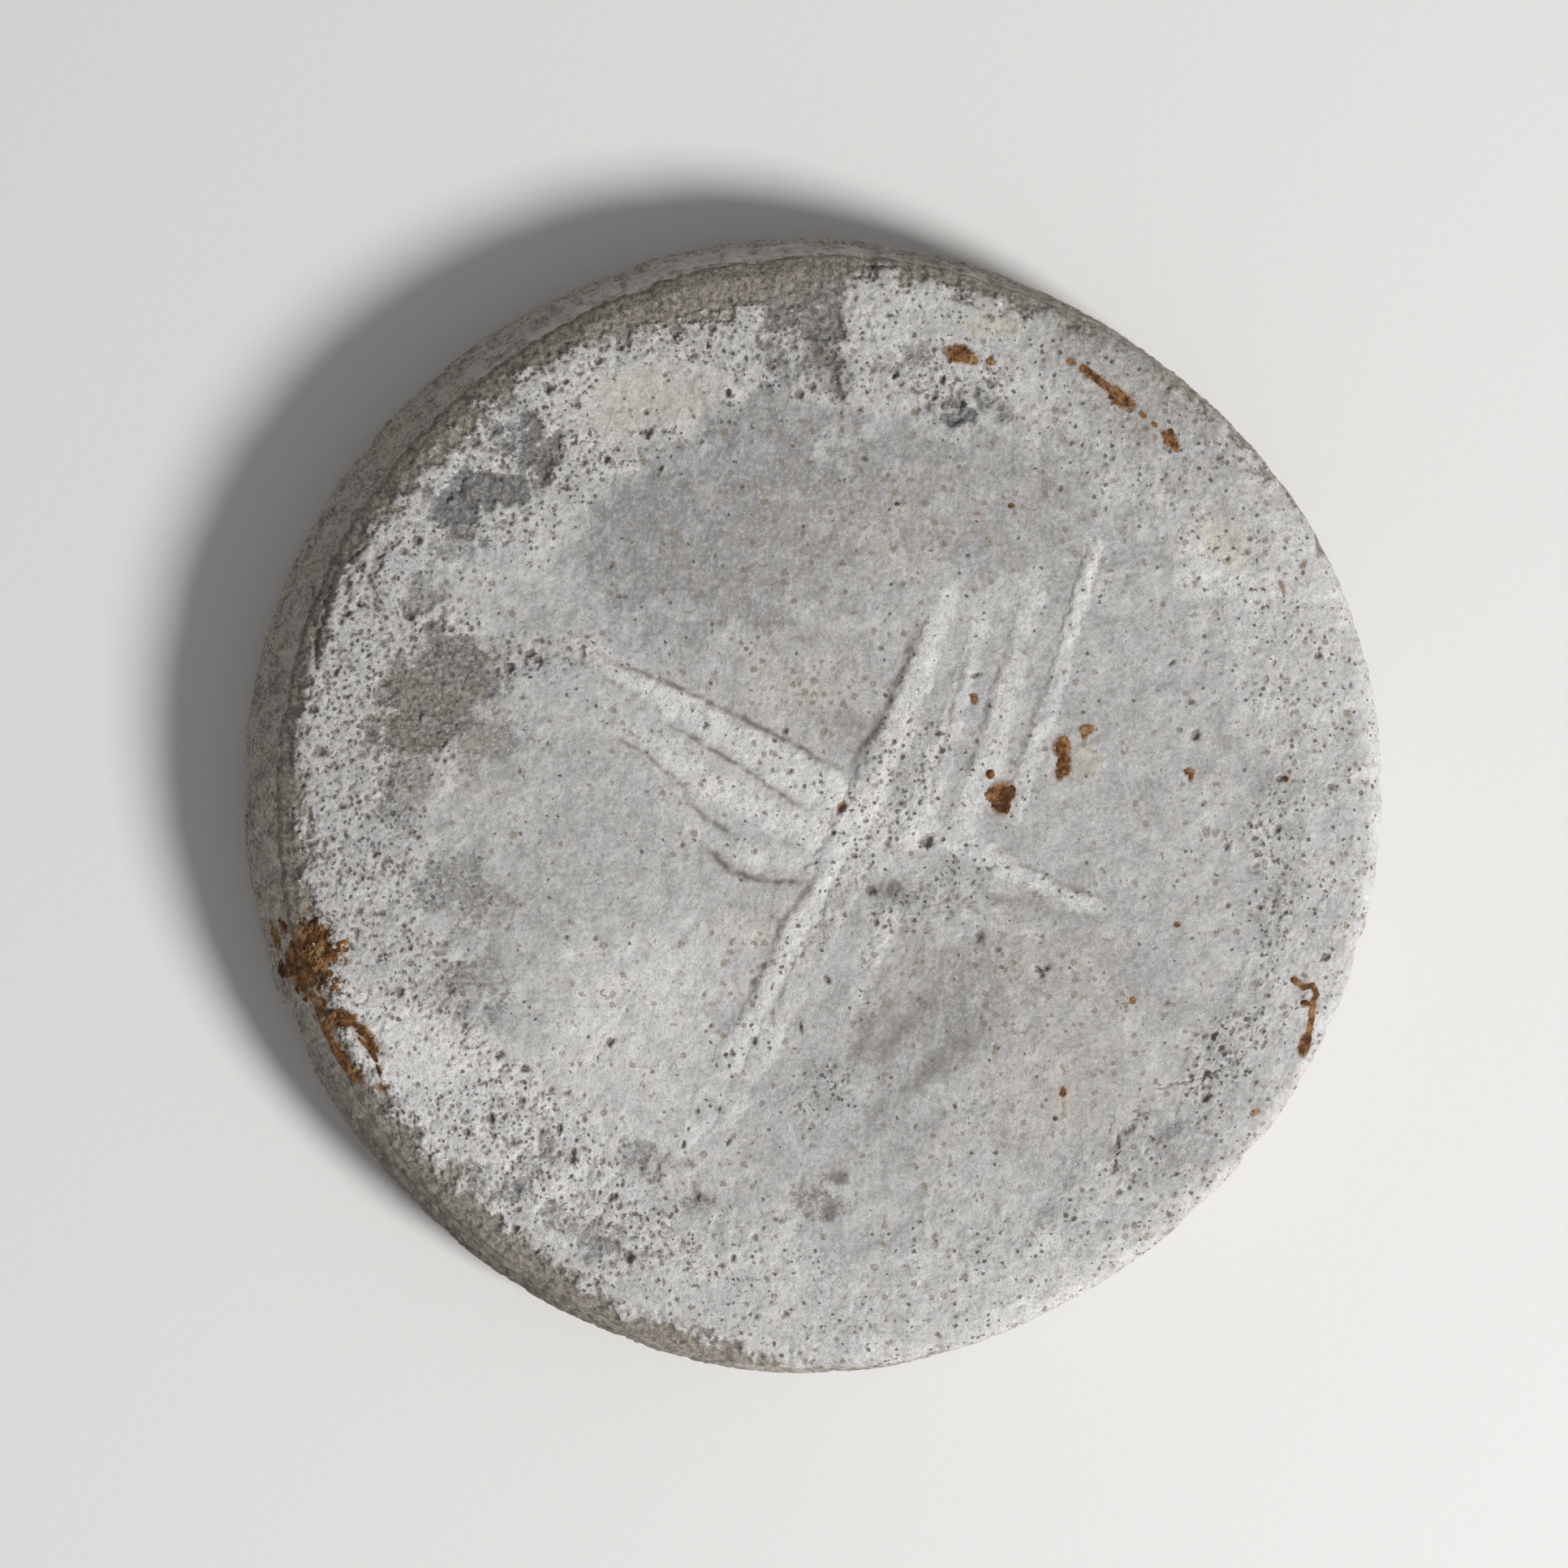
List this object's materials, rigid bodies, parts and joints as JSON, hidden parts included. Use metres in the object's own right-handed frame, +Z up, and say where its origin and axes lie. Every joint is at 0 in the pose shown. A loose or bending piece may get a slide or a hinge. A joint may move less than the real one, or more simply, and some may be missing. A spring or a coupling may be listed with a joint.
{
  "type": "incised stone disc",
  "caption": "Small flat round stone disc with a chalky pitted rind, crossed raised lines and iron stains on its face.",
  "frame": {"origin": "on the table under the middle of the disc, at its flat underside", "axes": "+Z up out of the lined face; +Y towards the end of the face that the bare layered patch of the rim is at; +X to its right"},
  "size_m": [0.06, 0.06, 0.0081],
  "materials": {
    "stone": "rough, layered, matt",
    "chalky_rind": "chalky, pitted, matt",
    "iron_crust": "rusty, crumbly, matt"
  },
  "bodies": {
    "root": {"stone_body": "stone", "rim_rind": "chalky_rind", "field_rind": "chalky_rind", "long_line_ridges": "chalky_rind", "west_line_ridges": "chalky_rind", "east_line_ridges": "chalky_rind", "rust_edge_patch": "iron_crust", "rust_edge_drip": "iron_crust", "rust_top_blob": "iron_crust", "rust_streak": "iron_crust", "rust_rim_curl": "iron_crust", "rust_field_spots": "iron_crust"}
  },
  "joints": []
}
